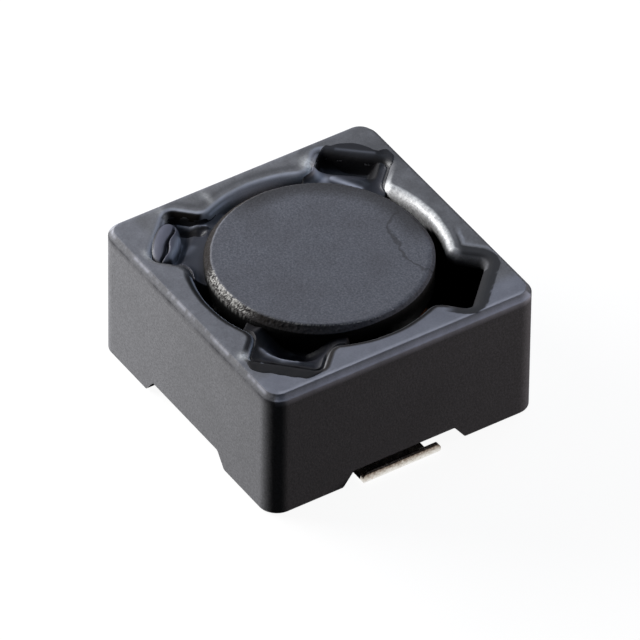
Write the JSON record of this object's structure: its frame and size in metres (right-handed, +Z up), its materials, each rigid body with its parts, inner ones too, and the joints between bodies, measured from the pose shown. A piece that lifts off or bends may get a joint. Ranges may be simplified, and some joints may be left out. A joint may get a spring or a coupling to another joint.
{
  "type": "shielded smd power inductor",
  "caption": "Square ferrite shield ring glued round a wound drum core, with low side notches and flat tinned solder terminals at opposite sides.",
  "frame": {"origin": "on the board plane, under the middle of the square shield ring", "axes": "+Z up from the board through the drum core, +X from the middle towards one terminal, the other terminal is at -X"},
  "size_m": [0.013, 0.0126, 0.0064],
  "materials": {
    "shield_ferrite": "tumbled dark grey ferrite, semi-gloss top",
    "drum_ferrite": "ground dark grey ferrite, matte",
    "enamelled_wire": "enamelled copper",
    "base_moulding": "moulded black",
    "tinned_strip": "dipped tin, slightly mottled",
    "solder": "smooth solder",
    "adhesive": "cured glossy epoxy"
  },
  "bodies": {
    "root": {"shield_ring": "shield_ferrite", "drum_core": "drum_ferrite", "winding": "enamelled_wire", "base_plate": "base_moulding", "terminal_right": "tinned_strip", "terminal_left": "tinned_strip", "solder_right": "solder", "solder_left": "solder", "adhesive_seamed": "adhesive", "adhesive_rear": "adhesive", "adhesive_front": "adhesive"}
  },
  "joints": []
}
